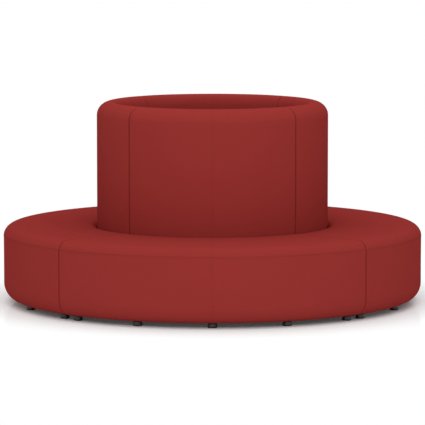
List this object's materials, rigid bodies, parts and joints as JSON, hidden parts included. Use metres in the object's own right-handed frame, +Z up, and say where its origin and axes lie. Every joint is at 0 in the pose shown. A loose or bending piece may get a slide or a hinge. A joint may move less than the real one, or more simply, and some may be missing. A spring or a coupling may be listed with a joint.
{
  "type": "round sofa",
  "caption": "Round lounge sofa of quarter ring upholstered modules whose tall back encloses an open centre well, on low levelling feet.",
  "frame": {"origin": "on the floor, at the centre of the ring, with every foot screwed right in", "axes": "+Z up along the ring's axis, and the front module's middle on -Y"},
  "size_m": [2.286, 2.286, 1.096],
  "materials": {
    "red_cover": "matte red woven upholstery cloth",
    "foam": "cut polyurethane foam",
    "plywood": "raw plywood",
    "black_cloth": "black nonwoven cloth",
    "black_nylon": "moulded black nylon",
    "zinc_steel": "zinc plated"
  },
  "bodies": {
    "sofa": {"front_seat_carcass": "plywood", "front_seat_foam": "foam", "front_seat_cover": "red_cover", "front_back_carcass": "plywood", "front_back_foam": "foam", "front_back_cover": "red_cover", "front_dust_cover": "black_cloth", "right_seat_carcass": "plywood", "right_seat_foam": "foam", "right_seat_cover": "red_cover", "right_back_carcass": "plywood", "right_back_foam": "foam", "right_back_cover": "red_cover", "right_dust_cover": "black_cloth", "rear_seat_carcass": "plywood", "rear_seat_foam": "foam", "rear_seat_cover": "red_cover", "rear_back_carcass": "plywood", "rear_back_foam": "foam", "rear_back_cover": "red_cover", "rear_dust_cover": "black_cloth", "left_seat_carcass": "plywood", "left_seat_foam": "foam", "left_seat_cover": "red_cover", "left_back_carcass": "plywood", "left_back_foam": "foam", "left_back_cover": "red_cover", "left_dust_cover": "black_cloth", "ganging_plate_front_right": "zinc_steel", "ganging_plate_right_rear": "zinc_steel", "ganging_plate_rear_left": "zinc_steel", "ganging_plate_left_front": "zinc_steel"},
    "front_foot_1": {"front_foot_1": "black_nylon"},
    "front_foot_2": {"front_foot_2": "black_nylon"},
    "front_foot_3": {"front_foot_3": "black_nylon"},
    "front_foot_4": {"front_foot_4": "black_nylon"},
    "front_foot_5": {"front_foot_5": "black_nylon"},
    "front_inner_foot_1": {"front_inner_foot_1": "black_nylon"},
    "front_inner_foot_2": {"front_inner_foot_2": "black_nylon"},
    "right_foot_1": {"right_foot_1": "black_nylon"},
    "right_foot_2": {"right_foot_2": "black_nylon"},
    "right_foot_3": {"right_foot_3": "black_nylon"},
    "right_foot_4": {"right_foot_4": "black_nylon"},
    "right_foot_5": {"right_foot_5": "black_nylon"},
    "right_inner_foot_1": {"right_inner_foot_1": "black_nylon"},
    "right_inner_foot_2": {"right_inner_foot_2": "black_nylon"},
    "rear_foot_1": {"rear_foot_1": "black_nylon"},
    "rear_foot_2": {"rear_foot_2": "black_nylon"},
    "rear_foot_3": {"rear_foot_3": "black_nylon"},
    "rear_foot_4": {"rear_foot_4": "black_nylon"},
    "rear_foot_5": {"rear_foot_5": "black_nylon"},
    "rear_inner_foot_1": {"rear_inner_foot_1": "black_nylon"},
    "rear_inner_foot_2": {"rear_inner_foot_2": "black_nylon"},
    "left_foot_1": {"left_foot_1": "black_nylon"},
    "left_foot_2": {"left_foot_2": "black_nylon"},
    "left_foot_3": {"left_foot_3": "black_nylon"},
    "left_foot_4": {"left_foot_4": "black_nylon"},
    "left_foot_5": {"left_foot_5": "black_nylon"},
    "left_inner_foot_1": {"left_inner_foot_1": "black_nylon"},
    "left_inner_foot_2": {"left_inner_foot_2": "black_nylon"}
  },
  "joints": [
    {"name": "front_foot_1_level", "type": "slide", "parent": "sofa", "child": "front_foot_1", "axis": [0, 0, -1], "range_m": [0, 0.012]},
    {"name": "front_foot_2_level", "type": "slide", "parent": "sofa", "child": "front_foot_2", "axis": [0, 0, -1], "range_m": [0, 0.012]},
    {"name": "front_foot_3_level", "type": "slide", "parent": "sofa", "child": "front_foot_3", "axis": [0, 0, -1], "range_m": [0, 0.012]},
    {"name": "front_foot_4_level", "type": "slide", "parent": "sofa", "child": "front_foot_4", "axis": [0, 0, -1], "range_m": [0, 0.012]},
    {"name": "front_foot_5_level", "type": "slide", "parent": "sofa", "child": "front_foot_5", "axis": [0, 0, -1], "range_m": [0, 0.012]},
    {"name": "front_inner_foot_1_level", "type": "slide", "parent": "sofa", "child": "front_inner_foot_1", "axis": [0, 0, -1], "range_m": [0, 0.012]},
    {"name": "front_inner_foot_2_level", "type": "slide", "parent": "sofa", "child": "front_inner_foot_2", "axis": [0, 0, -1], "range_m": [0, 0.012]},
    {"name": "right_foot_1_level", "type": "slide", "parent": "sofa", "child": "right_foot_1", "axis": [0, 0, -1], "range_m": [0, 0.012]},
    {"name": "right_foot_2_level", "type": "slide", "parent": "sofa", "child": "right_foot_2", "axis": [0, 0, -1], "range_m": [0, 0.012]},
    {"name": "right_foot_3_level", "type": "slide", "parent": "sofa", "child": "right_foot_3", "axis": [0, 0, -1], "range_m": [0, 0.012]},
    {"name": "right_foot_4_level", "type": "slide", "parent": "sofa", "child": "right_foot_4", "axis": [0, 0, -1], "range_m": [0, 0.012]},
    {"name": "right_foot_5_level", "type": "slide", "parent": "sofa", "child": "right_foot_5", "axis": [0, 0, -1], "range_m": [0, 0.012]},
    {"name": "right_inner_foot_1_level", "type": "slide", "parent": "sofa", "child": "right_inner_foot_1", "axis": [0, 0, -1], "range_m": [0, 0.012]},
    {"name": "right_inner_foot_2_level", "type": "slide", "parent": "sofa", "child": "right_inner_foot_2", "axis": [0, 0, -1], "range_m": [0, 0.012]},
    {"name": "rear_foot_1_level", "type": "slide", "parent": "sofa", "child": "rear_foot_1", "axis": [0, 0, -1], "range_m": [0, 0.012]},
    {"name": "rear_foot_2_level", "type": "slide", "parent": "sofa", "child": "rear_foot_2", "axis": [0, 0, -1], "range_m": [0, 0.012]},
    {"name": "rear_foot_3_level", "type": "slide", "parent": "sofa", "child": "rear_foot_3", "axis": [0, 0, -1], "range_m": [0, 0.012]},
    {"name": "rear_foot_4_level", "type": "slide", "parent": "sofa", "child": "rear_foot_4", "axis": [0, 0, -1], "range_m": [0, 0.012]},
    {"name": "rear_foot_5_level", "type": "slide", "parent": "sofa", "child": "rear_foot_5", "axis": [0, 0, -1], "range_m": [0, 0.012]},
    {"name": "rear_inner_foot_1_level", "type": "slide", "parent": "sofa", "child": "rear_inner_foot_1", "axis": [0, 0, -1], "range_m": [0, 0.012]},
    {"name": "rear_inner_foot_2_level", "type": "slide", "parent": "sofa", "child": "rear_inner_foot_2", "axis": [0, 0, -1], "range_m": [0, 0.012]},
    {"name": "left_foot_1_level", "type": "slide", "parent": "sofa", "child": "left_foot_1", "axis": [0, 0, -1], "range_m": [0, 0.012]},
    {"name": "left_foot_2_level", "type": "slide", "parent": "sofa", "child": "left_foot_2", "axis": [0, 0, -1], "range_m": [0, 0.012]},
    {"name": "left_foot_3_level", "type": "slide", "parent": "sofa", "child": "left_foot_3", "axis": [0, 0, -1], "range_m": [0, 0.012]},
    {"name": "left_foot_4_level", "type": "slide", "parent": "sofa", "child": "left_foot_4", "axis": [0, 0, -1], "range_m": [0, 0.012]},
    {"name": "left_foot_5_level", "type": "slide", "parent": "sofa", "child": "left_foot_5", "axis": [0, 0, -1], "range_m": [0, 0.012]},
    {"name": "left_inner_foot_1_level", "type": "slide", "parent": "sofa", "child": "left_inner_foot_1", "axis": [0, 0, -1], "range_m": [0, 0.012]},
    {"name": "left_inner_foot_2_level", "type": "slide", "parent": "sofa", "child": "left_inner_foot_2", "axis": [0, 0, -1], "range_m": [0, 0.012]}
  ]
}
